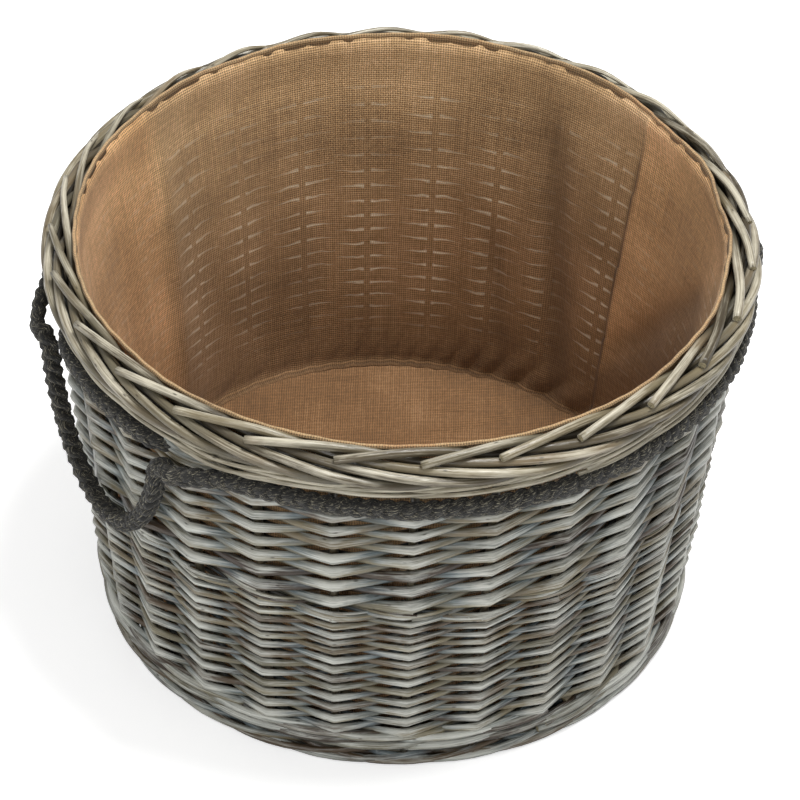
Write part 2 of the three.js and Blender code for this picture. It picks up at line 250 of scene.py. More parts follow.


# %% [markdown]
# Willow with a grey wash: peeled or brown rods are dipped in a thin grey paint and rubbed, so each
# rod keeps its own brown or cream under a chalky blue-grey film. The film is rubbed to pale wood
# where a rod stands out and on its upper side, partly real wear and partly a painted highlight, and
# the hollows and the rods' undersides get painted shade. The grain runs along the rod in lines under
# a millimetre wide. Wood has an IOR of about 1.5, and a washed rod is satin, not glossy.

# %% Willow finish
def willow(name, stops, wash, pale, roughness, washed=(0.46, 0.64), underside=1.0):
    material, tree = new_material(name)
    grain = node(tree, "ShaderNodeAttribute", attribute_name="grain")
    tone = node(tree, "ShaderNodeAttribute", attribute_name="tone")
    wear_and_shade = node(tree, "ShaderNodeAttribute", attribute_name="wear_and_shade")
    parts = node(tree, "ShaderNodeSeparateXYZ", {"Vector": grain.outputs["Vector"]})
    apart = node(tree, "ShaderNodeVectorMath", {0: tone.outputs["Vector"], 1: (37.3, 53.1, 45.7)},
                 operation="MULTIPLY")

    def along_grain(stretch, detail, rough):
        place = node(tree, "ShaderNodeVectorMath", {0: grain.outputs["Vector"], 1: stretch, 2: apart.outputs[0]},
                     operation="MULTIPLY_ADD")
        return node(tree, "ShaderNodeTexNoise", {"Vector": place.outputs[0], "Scale": 1, "Detail": detail,
                                                 "Roughness": rough}).outputs["Fac"]

    lines = along_grain((24, 900, 900), 3, 0.6)
    patches = along_grain((16, 60, 60), 3, 0.5)
    film = along_grain((30, 170, 170), 5, 0.6)
    # the wood's own colour goes from rod to rod and, less, along each rod
    shade = node(tree, "ShaderNodeMath", {0: patches, 1: 0.6, 2: tone.outputs["Fac"]}, operation="MULTIPLY_ADD")
    shade = node(tree, "ShaderNodeMath", {0: shade.outputs[0], 1: -0.3}, operation="ADD")
    wood = ramp(tree, shade.outputs[0], stops)
    # the wash is put on the upper side of a rod and little on its underside: real wash, placed as painted light from
    # above
    above = node(tree, "ShaderNodeMath", {0: parts.outputs["Y"], 1: 34, 2: film}, operation="MULTIPLY_ADD")
    # some rods took more of the wash than others
    taken = node(tree, "ShaderNodeMath", {0: tone.outputs["Fac"], 1: 7.3}, operation="MULTIPLY")
    taken = node(tree, "ShaderNodeMath", {0: taken.outputs[0]}, operation="FRACT")
    above = node(tree, "ShaderNodeMath", {0: taken.outputs[0], 1: 0.34, 2: above.outputs[0]},
                 operation="MULTIPLY_ADD")
    film_amount = node(tree, "ShaderNodeMapRange", {"Value": above.outputs[0], "From Min": washed[0],
                                                    "From Max": washed[1], "To Max": 0.85})
    filmed = node(tree, "ShaderNodeMix", {"Factor": film_amount.outputs[0], 6: wood.outputs["Color"], 7: srgb(wash)},
                  data_type="RGBA")
    # where a rod stands out and on its upper side the wash is rubbed to pale wood: partly real wear, partly a painted
    # highlight
    rub_and_highlight = node(tree, "ShaderNodeMath", {0: above.outputs[0], 1: wear_and_shade.outputs["Fac"], 2: lines},
               operation="MULTIPLY_ADD")
    rub_and_highlight = node(tree, "ShaderNodeMapRange", {"Value": rub_and_highlight.outputs[0], "From Min": 0.94, "From Max": 1.4,
                                            "To Max": 0.8})
    rubbed_and_highlit = node(tree, "ShaderNodeMix", {"Factor": rub_and_highlight.outputs[0], 6: filmed.outputs[2], 7: srgb(pale)},
                  data_type="RGBA")
    grey_lines = ramp(tree, lines, [(0.28, (0.5, 0.46, 0.41, 1)), (0.44, (0.92, 0.91, 0.89, 1)),
                                    (0.62, (1.06, 1.06, 1.06, 1))])
    lined = node(tree, "ShaderNodeMix", {"Factor": 0.7, 6: rubbed_and_highlit.outputs[2], 7: grey_lines.outputs["Color"]},
                 data_type="RGBA", blend_type="MULTIPLY")
    # bud scars: dark specks of about a millimetre, one in some 20 mm of rod
    scar_place = node(tree, "ShaderNodeVectorMath", {0: grain.outputs["Vector"], 1: (50, 160, 160),
                                                     2: apart.outputs[0]}, operation="MULTIPLY_ADD")
    scars = node(tree, "ShaderNodeTexVoronoi", {"Vector": scar_place.outputs[0], "Scale": 1})
    scar = node(tree, "ShaderNodeMapRange", {"Value": scars.outputs["Distance"], "From Min": 0.05, "From Max": 0.13,
                                             "To Min": 0.8, "To Max": 0})
    scarred = node(tree, "ShaderNodeMix", {"Factor": scar.outputs[0], 6: lined.outputs[2], 7: srgb("#2a211b")},
                   data_type="RGBA")
    # painted shade in the hollows, where the rod lies deep in the weave
    hollow_shade = node(tree, "ShaderNodeMapRange", {"Value": wear_and_shade.outputs["Fac"], "From Max": 0.65, "To Min": 0.14,
                                               "To Max": 1.0})
    # painted shade along the undersides of rods that lie close on each other
    underside_shade = node(tree, "ShaderNodeMapRange", {"Value": parts.outputs["Y"], "From Min": -0.0027,
                                              "From Max": -0.0007, "To Min": underside, "To Max": 1.0})
    dim = node(tree, "ShaderNodeMath", {0: hollow_shade.outputs[0], 1: underside_shade.outputs[0]}, operation="MULTIPLY")
    shaded = node(tree, "ShaderNodeMix", {"Factor": 1.0, 6: scarred.outputs[2], 7: dim.outputs[0]},
                  data_type="RGBA", blend_type="MULTIPLY")
    height = node(tree, "ShaderNodeMath", {0: film, 1: 0.8, 2: lines}, operation="MULTIPLY_ADD")
    bump = node(tree, "ShaderNodeBump", {"Height": height.outputs[0], "Strength": 0.6, "Distance": 0.0007})
    skin = node(tree, "ShaderNodeBsdfPrincipled", {"Base Color": shaded.outputs[2], "Roughness": roughness,
                                                   "IOR": 1.5, "Normal": bump.outputs[0]})
    node(tree, "ShaderNodeOutputMaterial", {"Surface": skin.outputs[0]})
    return material


WASHED_STOPS = [(0.0, "#36291b"), (0.2, "#554634"), (0.45, "#70654d"), (0.7, "#827a62"), (1.0, "#505045")]
side_willow = willow("grey_washed_willow", WASHED_STOPS, "#697a82", "#d9d9cf", 0.3, (0.61, 0.89))
# the foot's rods get stronger painted shade along their undersides
foot_willow = willow("grey_washed_willow_painted_shade_below", WASHED_STOPS, "#697a82", "#d9d9cf", 0.3, (0.61, 0.89), 0.3)
border_willow = willow("rubbed_grey_willow", [(0.0, "#463d2c"), (0.3, "#675d49"), (0.6, "#7d7259"), (0.8, "#686251"),
                                              (1.0, "#7b6c54")], "#858274", "#cfc8b4", 0.32, (0.66, 1.0))
base_willow = willow("brown_base_willow", [(0.0, "#4b4030"), (0.5, "#746650"), (1.0, "#8a7c60")], "#82827a",
                     "#aca28a", 0.6)

# %% [markdown]
# Where a rod is cut the end grain shows: pale, dry wood, rougher than the skin.

# %% Cut ends
cut_wood, tree = new_material("cut_willow_end")
spot = node(tree, "ShaderNodeTexCoord")
fibre = node(tree, "ShaderNodeTexNoise", {"Vector": spot.outputs["Object"], "Scale": 900, "Detail": 3})
wood = ramp(tree, fibre.outputs["Fac"], [(0.35, "#6f6650"), (0.65, "#aba080")])
bump = node(tree, "ShaderNodeBump", {"Height": fibre.outputs["Fac"], "Strength": 0.4, "Distance": 0.0004})
skin = node(tree, "ShaderNodeBsdfPrincipled", {"Base Color": wood.outputs["Color"], "Roughness": 0.85,
                                               "Normal": bump.outputs[0]})
node(tree, "ShaderNodeOutputMaterial", {"Surface": skin.outputs[0]})

# %% [markdown]
# The rope is a three-strand plait of charcoal cotton yarn, like thick cord for bags. A plait's
# strands cross from side to side while they pass over and under, so each strand follows a wave
# across the rope and a wave of twice the rate through it. A plain tube with a bump would lose the
# lumps of its outline, so each strand is a real body. Its yarns lie in slanting strokes, which are
# too fine for the mesh and are drawn by the finish.

# %% Rope finish
rope_dark, tree = new_material("charcoal_plaited_cotton")
grain = node(tree, "ShaderNodeAttribute", attribute_name="grain")
tone = node(tree, "ShaderNodeAttribute", attribute_name="tone")
# yarns run along a strand, about 1.1 mm apart, with a slight twist round it
parts = node(tree, "ShaderNodeSeparateXYZ", {"Vector": grain.outputs["Vector"]})
twist = node(tree, "ShaderNodeMath", {0: parts.outputs["X"], 1: 0.16}, operation="MULTIPLY")
turned = node(tree, "ShaderNodeVectorMath", {0: grain.outputs["Vector"], 1: twist.outputs[0]}, operation="ADD")
apart = node(tree, "ShaderNodeVectorMath", {0: tone.outputs["Vector"], 1: (31.7, 43.3, 51.9)}, operation="MULTIPLY")
yarn_place = node(tree, "ShaderNodeVectorMath", {0: turned.outputs[0], 1: (95, 1300, 1300), 2: apart.outputs[0]},
                  operation="MULTIPLY_ADD")
yarns = node(tree, "ShaderNodeTexNoise", {"Vector": yarn_place.outputs[0], "Scale": 1, "Detail": 3,
                                          "Roughness": 0.65})
fluff = node(tree, "ShaderNodeTexNoise", {"Vector": grain.outputs["Vector"], "Scale": 1500, "Detail": 3})
weight = node(tree, "ShaderNodeMath", {0: fluff.outputs["Fac"], 1: 0.25, 2: yarns.outputs["Fac"]},
              operation="MULTIPLY_ADD")
yarn = ramp(tree, weight.outputs[0], [(0.5, "#040403"), (0.61, "#12110e"), (0.69, "#27241e"), (0.79, "#9a947f")])
bump = node(tree, "ShaderNodeBump", {"Height": weight.outputs[0], "Strength": 1.0, "Distance": 0.0014})
skin = node(tree, "ShaderNodeBsdfPrincipled", {"Base Color": yarn.outputs["Color"], "Roughness": 0.75,
                                               "Sheen Weight": 0.1, "Sheen Roughness": 0.5,
                                               "Normal": bump.outputs[0]})
node(tree, "ShaderNodeOutputMaterial", {"Surface": skin.outputs[0]})

yarn_pale, tree = new_material("loose_cotton_yarn")
grain = node(tree, "ShaderNodeAttribute", attribute_name="grain")
speck = node(tree, "ShaderNodeTexNoise", {"Vector": grain.outputs["Vector"], "Scale": 900, "Detail": 2})
pale = ramp(tree, speck.outputs["Fac"], [(0.35, "#4a463c"), (0.65, "#a09a88")])
skin = node(tree, "ShaderNodeBsdfPrincipled", {"Base Color": pale.outputs["Color"], "Roughness": 0.85})
node(tree, "ShaderNodeOutputMaterial", {"Surface": skin.outputs[0]})

# %% [markdown]
# The handles are free rope, so they are settled before anything else. Each is 15 mm plaited rope,
# about a third of a metre between the two places where it leaves the wall, and hangs against the
# side. The route repeats the CAD's own points.

# %% Rope handles
PLAIT_LENGTH = 0.034
ROPE_MIDDLE = 0.3087
ROPE_RADIUS = wall_radius(0.3175) + 0.0038 + 0.0003 + 0.0065
HINGE_HEIGHT = ROPE_MIDDLE - 0.008
HALF_SPAN = 1.5 * PITCH
HINGE_DISTANCE = (ROPE_RADIUS + 0.012) * math.cos(HALF_SPAN)
HINGE_HALF = (ROPE_RADIUS + 0.012) * math.sin(HALF_SPAN)
LEFT_HANDLE = math.radians(213.333)
RIGHT_HANDLE = LEFT_HANDLE + math.pi
HANDLE_SHARES = [(0, 1.14), (0.26, 1.07), (0.48, 0.9), (0.64, 0.68), (0.75, 0.45), (0.81, 0.26),
                 (0.83, 0.14), (0.865, 0.045), (0.93, 0)]


def beside_hinge(handle, along, down):
    return polar(handle, HINGE_DISTANCE, HINGE_HEIGHT - down) + polar(handle + math.pi / 2, along, 0)


def handle_route(handle):
    half = [(along * HINGE_HALF, down * HINGE_HALF) for along, down in HANDLE_SHARES]
    half.append((HINGE_HALF - 0.0003, 0))
    mirrored = [(-along, down) for along, down in reversed(half[1:])]
    return through([beside_hinge(handle, along, down) for along, down in mirrored + half], 10)


def evenly(route, step):
    """The same route with its points a step apart."""
    marks = np.cumsum([0] + [(b - a).length for a, b in zip(route, route[1:])])
    count = max(2, round(marks[-1] / step))
    wanted = np.linspace(0, marks[-1], count + 1)
    places = np.array([p[:] for p in route])
    return [Vector([float(np.interp(w, marks, places[:, k])) for k in range(3)]) for w in wanted], marks[-1]


def plait(route, width, depth, outwards, seed):
    """Three strands that cross as they follow the route; outwards turns the flat side of the plait."""
    line, length = evenly(route, 0.0018)
    turns = max(1, round(length / PLAIT_LENGTH))
    strand = 0.63 * width
    meshes = []
    for number in range(3):
        swung = []
        sides = []
        for i, point in enumerate(line):
            ahead_here = (line[min(i + 1, len(line) - 1)] - line[max(i - 1, 0)]).normalized()
            out = outwards(point, ahead_here)
            out = (out - ahead_here * out.dot(ahead_here)).normalized()
            over = ahead_here.cross(out)
            phase = 2 * math.pi * (turns * i / (len(line) - 1) + number / 3)
            swung.append(point + over * math.sin(phase) * (width - strand) / 2
                         + out * math.sin(2 * phase) * (depth - strand * 0.72) / 2)
            sides.append(over)
        swung[0] = line[0].lerp(swung[0], 0.8)
        size = lambda i: strand * (1.04 + 0.03 * math.sin(i * 0.9 + seed + number))
        places = stations(swung, size, lambda i: 0.78 * size(i), lambda i, along: sides[i])
        meshes.append(grow_rod(places, 10, 0.2 + 0.3 * number, lambda i: 0.5, cut=0, grain_start=number * 0.7 + seed))
    return meshes, line, length


def loose_yarns(line, radius, count, seed):
    """Short ends of yarn that have worked loose and arch a millimetre or two off the rope."""
    pick = random.Random(seed)
    meshes = []
    for number in range(count):
        i = pick.randrange(2, len(line) - 6)
        ahead_here = (line[i + 1] - line[i - 1]).normalized()
        side = ahead_here.orthogonal().normalized()
        turn = pick.uniform(0, 2 * math.pi)
        sweep = pick.uniform(-1.1, 1.1)
        rise = pick.uniform(0.0006, 0.0016)
        reach = pick.choice((2, 3, 4))
        hair = []
        for k in range(5):
            share = k / 4
            spot = line[i].lerp(line[i + reach], share)
            out = (side * math.cos(turn + sweep * share) + ahead_here.cross(side) * math.sin(turn + sweep * share))
            hair.append(spot + out * (radius - 0.001 + rise * math.sin(math.pi * share)))
        places = stations(hair, lambda k: 0.00034, lambda k: 0.00034, side)
        mesh = grow_rod(places, 3, pick.random(), lambda k: 0.5, cut=0, grain_start=number)
        for face in mesh.polygons:
            face.material_index = 1
        meshes.append(mesh)
    return meshes


for side, handle in (("left", LEFT_HANDLE), ("right", RIGHT_HANDLE)):
    facing = polar(handle, 1, 0)
    meshes, line, length = plait(handle_route(handle), 0.0152, 0.0146, lambda p, a, f=facing: f, 1.0)
    meshes += loose_yarns(line, 0.0073, 90, 31)
    loop = gather(f"plaited_handle_{side}", meshes, [rope_dark, yarn_pale], [f"rope_handle_{side}"], f"{side}_handle")
    print("handle", side, round(length * 1000), "mm of rope")

# %% [markdown]
# The rest of the rope lies in the wall, pressed against the stakes between the upper weave and the
# thin rods under the border. It turns out to each handle's end, and a stretch lies in the wall
# behind each handle.

# %% Rope in the wall
TURN_IN_SHARES = [(0.36, 0.8, 0.34), (0.68, 0.26, 0), (1, 0, 0)]


def turn_in(handle, side):
    straight = [beside_hinge(handle, side * along, 0) for along in (HINGE_HALF, HINGE_HALF + 0.005)]
    return straight + [polar(handle + side * (HALF_SPAN + along * PITCH), ROPE_RADIUS + out * 0.012,
                             ROPE_MIDDLE - down * 0.008) for along, out, down in TURN_IN_SHARES]


def wall_rope(start, stop):
    steps = round(2 * ((stop - start - 2 * HALF_SPAN) / PITCH - 2))
    inside = [polar(start + HALF_SPAN + (1 + i / 2) * PITCH, ROPE_RADIUS - 0.0012 * (i % 2), ROPE_MIDDLE)
              for i in range(1, steps)]
    return through(turn_in(start, 1) + inside + turn_in(stop, -1)[::-1], 6)


def radially(point, along):
    return Vector((point.x, point.y, 0)).normalized()


rope_runs = {
    "rope_front": wall_rope(LEFT_HANDLE, RIGHT_HANDLE),
    "rope_back": wall_rope(RIGHT_HANDLE, LEFT_HANDLE + 2 * math.pi),
}
for side, handle in (("left", LEFT_HANDLE), ("right", RIGHT_HANDLE)):
    # the stretch behind a handle turns in between two stakes at both ends
    half = [(0, 0), (0.5, 0), (0.95, 0), (1.14, 0.003), (1.3, 0.0085)]
    turns = [(-along, in_) for along, in_ in reversed(half[1:])] + half
    rope_runs[f"rope_bridge_{side}"] = through(
        [polar(handle + along * PITCH, ROPE_RADIUS - 0.001 - in_, ROPE_MIDDLE) for along, in_ in turns], 6)
for name, route in rope_runs.items():
    meshes, line, length = plait(route, 0.0165, 0.0118, radially, 2.0)
    meshes += loose_yarns(line, 0.0068, round(length * 260), len(name))
    gather(f"plaited_{name}", meshes, [rope_dark, yarn_pale], [name])
    print(name, round(length * 1000), "mm")

# %% [markdown]
# Stakes and border. A stake rises inside the weave, bends to the left at the rim and becomes one
# rod of the plaited border: behind one stake, down in front of three, then up across its
# neighbours to the inner edge, where its cut tip lies on top. Twenty-seven equal runs make the
# border. The route is the CAD's, smoothed and a little uneven, because no two rods are alike.

# %% Stakes and border rods
BORDER_SHARES = [(-0.38, 1.02), (-1.01, 0.06), (-0.05, 0.02), (1.02, 0.04), (1.5, 0.42), (1.6, 1.06), (1.32, 1.54),
                 (0.8, 1.8), (0.26, 2.02), (-0.7, 1.54), (-0.9, 2.32), (-0.42, 2.92), (0.36, 3.02), (1.08, 2.58)]
BORDER_WEAR_AND_SHADE = [0.2, 0, 0, 0.35, 0.7, 1, 1, 0.6, 0.35, 0.1, 0.5, 1, 1, 1]
chance = random.Random(27)


def lying(angle, start=0.35):
    """1 at the back of the basket, where the rods lie close along the border, and 0 at the front."""
    return max(0.0, min(1.0, start + math.sin(angle)))


def stake_route(stake):
    angle = stake_angle(stake)
    low = [polar(angle, wall_radius(z), z) for z in (0.003, 0.05, 0.12, 0.19, 0.26, 0.31, BORDER_BOTTOM)]
    bend = []
    for i in (1, 2, 3):
        turn = math.pi / 2 * i / 3
        bend.append(polar(angle - 1.45 * ROD * (1 - math.cos(turn)) / RIM_RADIUS, RIM_RADIUS,
                          BORDER_BOTTOM + 1.45 * ROD * math.sin(turn)))
    run = []
    for i, (out, up) in enumerate(BORDER_SHARES):
        loose = 0.0004 if i > 2 else 0.0002
        run.append(polar(angle - (i + 1) / 2 * PITCH, RIM_RADIUS + out * LANE + chance.uniform(-loose, loose),
                         LOWEST_LANE + up * LANE + chance.uniform(-loose, loose)))
    tip_angle = angle - (len(BORDER_SHARES) / 2 + chance.uniform(-0.06, 0.06)) * PITCH
    flat = lying(tip_angle)
    run[-1] = polar(tip_angle, RIM_RADIUS + (1.08 + 0.2 * flat) * LANE, LOWEST_LANE + (2.58 - 0.85 * flat) * LANE)
    return low + through(bend + run, 5), flat


meshes = []
for stake in range(STAKES):
    route, flat = stake_route(stake)
    girth = ROD * (chance.uniform(0.90, 0.97) + 0.09 * lying(stake_angle(stake) - 3 * PITCH, 0.8))
    slim = 0.1 + 0.68 * flat
    size = lambda i: girth * (1.02 - slim * (i / len(route)) ** 6) * (1 + 0.018 * math.sin(i * 0.7 + stake))
    first = -polar(stake_angle(stake), 1, 0)
    places = stations(route, size, lambda i: size(i) * 0.98, first)
    tone = chance.random()
    # the stretches that lie under other rods get painted shade, and those on top are rubbed pale
    run_start = len(route) - 5 * (len(BORDER_SHARES) + 2) - 1
    rim = lambda i: float(np.interp((i - run_start) / 5 - 3, range(len(BORDER_WEAR_AND_SHADE)), BORDER_WEAR_AND_SHADE))
    meshes.append(grow_rod(places, 10, tone, rim, grain_start=stake * 1.7, cut=0.14))
# three spare rods lie in the middle of the border and keep it full
for out, up, share in ((0.35, 0.92, 0.84), (-0.45, 1.15, 0.62), (0.3, 1.5, 0.8)):
    core = [polar(i * PITCH / 3, RIM_RADIUS + out * LANE, LOWEST_LANE + up * LANE) for i in range(3 * STAKES + 1)]
    places = stations(core, lambda i: share * ROD, lambda i: share * ROD, Vector((0, 0, 1)))
    # they take the finish's full painted shade
    meshes.append(grow_rod(places, 8, 0.3, lambda i: 0.0, grain_start=3.1, cut=0))
gather("stakes_and_border", meshes, [border_willow, cut_wood], [f"stake_{i + 1:02d}" for i in range(STAKES)])

# %% [markdown]
# The side is woven in two bands of French randing. Each band has one rod for each stake. A rod
# passes in front of one stake and behind the next, and climbs by its own thickness each time, so
# every stake shows a ladder of slanting strokes with dark gaps between them. The rods run almost
# straight from stake to stake and bend sharply there, which gives the side its upright ridges.
# Each rod thins from its butt at the bottom to its tip at the top.

# %% Side weave
SHARES = [0, 0.035, 0.11, 0.3, 0.5, 0.7, 0.89, 0.965]


def rand_band(name, bottom, strokes, first_step, last_step, thick, node_name, seed):
    rods = random.Random(seed)
    passes = 2 * strokes
    # a rod starts behind a stake, so the first and last quarter of its run lie inside the wall
    along = [j + s for j in range(passes) for s in SHARES] + [passes]
    along = [-0.5, -0.3, -0.11] + along + [passes + 0.11, passes + 0.3, passes + 0.5]
    step = lambda s: first_step + (last_step - first_step) * min(max(s / passes, 0), 1)
    climb = lambda s: bottom + first_step * s + (last_step - first_step) * s * abs(s) / (2 * passes)
    push = [[rods.uniform(-0.0006, 0.0006) for _ in range(passes + 3)] for _ in range(STAKES)]
    made = []
    for start in range(STAKES):
        girth = rods.uniform(0.92, 1.08)
        lift = [rods.uniform(-0.0007, 0.0007) for _ in range(passes + 4)]
        route, outs, swings = [], [], []
        for s in along:
            j = math.floor(s)
            t = s - j
            front = 1 if j % 2 else -1
            swing = front * (1 - 2 * t)
            rod = thick * step(s)
            z = climb(s) + lift[j + 1] * (1 - t) + lift[j + 2] * t
            pushed = push[(start + j) % STAKES][j + 1] * (1 - t) + push[(start + j + 1) % STAKES][j + 2] * t
            out = swing * min(0.0048 + rod * 0.4, 0.0106 - rod * 0.4) + pushed
            route.append(polar(stake_angle(start + s), wall_radius(z) + out, z))
            # behind a stake the value is low and paints shade; in front it is high, where the wash is rubbed pale
            outs.append(min(1.0, max(0.0, 0.55 + 0.55 * swing)))
            swings.append(max(0.0, swing))
        upright = lambda i: girth * thick * step(along[i]) * (0.74 + 0.26 * swings[i] ** 1.4) * (1 + 0.03 * math.sin(
            i * 1.3 + start))
        places = stations(route, upright, lambda i: 0.8 * upright(i), lambda i, ahead_here: Vector((0, 0, 1)))
        made.append(grow_rod(places, 8, rods.random(), lambda i: outs[i], grain_start=start * 2.1, cut=0.1))
    return gather(name, made, [side_willow, cut_wood], [node_name])


rand_band("lower_rand", 0.0325, 13, 0.0067, 0.0043, 1.22, "lower_side_weave", 5)
rand_band("upper_rand", 0.1830, 7, 0.0092, 0.0069, 1.2, "upper_side_weave", 9)

# %% [markdown]
# Between the two bands the thin tips of the lower rods run on for a few stakes, almost level, and
# fill the step.

# %% Tips between the bands
rods = random.Random(14)
made = []
for start in range(STAKES):
    for layer in (0, 1):
        reach = rods.choice((3, 4, 5))
        first = start + layer * 0.5 + rods.uniform(-0.1, 0.1)
        height = 0.1725 + 0.0062 * layer + rods.uniform(-0.001, 0.001)
        route, outs = [], []
        for i in range(reach * 6 + 1):
            s = i / 6
            swing = math.cos(math.pi * (s + layer + start))
            z = height + 0.0016 * s + rods.uniform(-0.0002, 0.0002)
            route.append(polar(stake_angle(first + s - layer * 0.5), wall_radius(z) + swing * 0.0062 + 0.001, z))
            outs.append(0.5 + 0.5 * swing)
        size = lambda i: 0.0044 * (1 - 0.5 * i / len(route))
        places = stations(route, size, size, lambda i, ahead_here: Vector((0, 0, 1)))
        made.append(grow_rod(places, 6, rods.random(), lambda i: outs[i], grain_start=start * 0.7 + layer, cut=0))
gather("band_tips", made, [side_willow, cut_wood])

# %% [markdown]
# Wales are rounds of rods that pass in front of two stakes and behind one, several rods following
# each other, so they twist like a rope. A heavy wale just above the floor turns the stakes up, and
# a wale of thin rods locks the rope and carries the border.

# %% Wales
def beside_handle(angle):
    """1 where a handle's rope turns into the wall, and 0 away from it."""
    ends = [handle + side * (HALF_SPAN + 0.55 * PITCH) for handle in (LEFT_HANDLE, RIGHT_HANDLE) for side in (-1, 1)]
    apart = min(abs((angle - end + math.pi) % (2 * math.pi) - math.pi) for end in ends)
    return math.exp(-(apart / (0.6 * PITCH)) ** 2)


def wale(name, bottom, climb, rounds, thick, node_name, seed, finish, bulge=0.0, slant=0.42, loose=0.0005):
    """Three rods that follow each other: over two stakes, behind the third, climbing to the next round."""
    rods = random.Random(seed)
    made = []
    total = rounds * STAKES
    for number in range(3):
        samples = [i / 8 for i in range(8 * total + 1)]
        jitter = [rods.uniform(-loose, loose) for _ in range(total + 2)]
        route, outs = [], []
        for s in samples:
            phase = (s + number) % 3
            # out over the stakes at 0 and 1, in behind the stake at 2
            out = math.cos(2 * math.pi * (phase - 0.5) / 3)
            out = 0.55 + 0.45 * out if out > -0.5 else 0.325 + 2.65 * (out + 0.5)
            tilt = (phase - 0.5) / 1.5 if phase < 2 else (2.5 - phase) / 0.5
            unsteady = jitter[int(s)] * (1 - s % 1) + jitter[int(s) + 1] * (s % 1)
            z = bottom + climb * s / STAKES + slant * thick * tilt + unsteady
            angle = stake_angle(s + number / 9)
            lean = bulge * (1 - 0.8 * s / total) * (1 + 1.2 * beside_handle(angle))
            z -= 0.0035 * beside_handle(angle) * (1 - s / total) if bulge else 0
            route.append(polar(angle, wall_radius(z) + out * (0.0036 + thick / 2) + lean, z))
            outs.append(min(1.0, max(0.0, 0.5 + 0.5 * out)))
        size = lambda i: thick * (1 + 0.06 * math.sin(i * 0.21 + number * 2))
        places = stations(route, size, lambda i: 0.95 * size(i), lambda i, ahead_here: Vector((0, 0, 1)))
        made.append(grow_rod(places, 8, rods.random(), lambda i: outs[i], grain_start=number * 3.3, cut=0.1))
    return gather(name, made, [finish, cut_wood], [node_name])


wale("upset_rods", 0.0150, 0.0088, 2, 0.0074, "upset_wale", 3, foot_willow, loose=0.0009)
wale("top_rods", 0.3185, 0.0045, 3, 0.0036, "top_wale", 4, border_willow, 0.0050, 0.85, 0.0009)

# %% [markdown]
# Beside each end of a handle the rope leaves a hollow in the wall. Short thin rods close it: one
# lot passes in front of the stake there, and the other lot behind it.

# %% Rods that close the hollows beside the handles
rods = random.Random(21)
made = []
for handle in (LEFT_HANDLE, RIGHT_HANDLE):
    for side in (-1, 1):
        for layer in range(10):
            height = 0.2975 + 0.0033 * layer
            front = 1 if layer % 2 else -1
            route = []
            for i in range(11):
                along = -0.42 + 1.2 * i / 10
                out = front * 0.0068 * math.cos(math.pi * along) + rods.uniform(-0.0003, 0.0003)
                rise = height + 0.003 * side * along + rods.uniform(-0.0003, 0.0003)
                route.append(polar(handle + side * (HALF_SPAN + along * PITCH), wall_radius(height) + out, rise))
            places = stations(route, lambda i: 0.0058, lambda i: 0.0052, lambda i, ahead_here: Vector((0, 0, 1)))
            # the lot behind the stake gets painted shade, the lot in front is rubbed pale
            made.append(grow_rod(places, 8, rods.random(), lambda i: 0.75 if front > 0 else 0.1,
                                 grain_start=layer * 1.3, cut=0.1))
gather("closing_rods", made, [side_willow, cut_wood])

# %% [markdown]
# The foot is a rolled border under the base: thin rods that pass outside the stakes' lower ends,
# each tucked in behind the one after the next. The basket stands on them. One twisted ring would be
# quicker, but single rods give the uneven edge and the dark lines between the rods.

# %% Foot border
made = []
rods = random.Random(12)
for start in range(STAKES):
    route, outs = [], []
    for i in range(25):
        s = i / 24 * 3.0
        share = i / 24
        out = 1.15 * math.sin(math.pi * share) ** 0.7 - 0.15
        z = 0.0097 - 0.0063 * math.sin(math.pi * min(1.0, share * 1.1)) ** 0.8
        z += 0.0006 * (1 + math.sin(2.4 * start)) * share
        route.append(polar(stake_angle(start + s - 0.5), wall_radius(z) + out * 0.0068, z + rods.uniform(-2e-4, 2e-4)))
        outs.append(min(1.0, max(0.0, 0.35 + 0.6 * out)))
    size = lambda i: 0.0065 * (1 - 0.12 * i / 24)
    places = stations(route, size, size, lambda i, ahead_here: Vector((0, 0, 1)))
    made.append(grow_rod(places, 8, rods.random(), lambda i: outs[i], grain_start=start * 1.1, cut=0.1))
# an inner roll of three rods keeps the outer ones on the stakes' ends
for number in range(3):
    route = [polar(stake_angle(number / 3 + i / 6), wall_radius(0) + 0.0005 + 0.0007 * math.sin(i * 0.7 + number * 2),
                   0.0040 + 0.0036 * number + 0.0003 * math.sin(i * 0.9)) for i in range(6 * STAKES + 1)]
    places = stations(route, lambda i: 0.0066, lambda i: 0.0060, lambda i, ahead_here: Vector((0, 0, 1)))
    # the inner roll gets painted shade
    made.append(grow_rod(places, 8, rods.random(), lambda i: 0.3, grain_start=number * 4.7, cut=0.1))
# and two more close the corner between the base and the wall
for number in range(2):
    height = 0.0200 + 0.0075 * number
    route = [polar(stake_angle(0.4 * number + i / 4), wall_radius(height) - 0.0098 + 0.0004 * math.sin(i * 1.1), height)
             for i in range(4 * STAKES + 1)]
    places = stations(route, lambda i: 0.0076, lambda i: 0.0080, lambda i, ahead_here: Vector((0, 0, 1)))
    # these get painted shade
    made.append(grow_rod(places, 8, rods.random(), lambda i: 0.1, grain_start=number * 2.9, cut=0.1))
gather("foot_rods", made, [foot_willow, cut_wood], ["foot_border"])

# %% [markdown]
# The base cross keeps its CAD sticks: their shape is right, and they get a brown bark finish of their
# own on Object coordinates, with no rod attributes. The weave round them is made as rings of rod that
# pass over and under the sixteen spokes in turn.

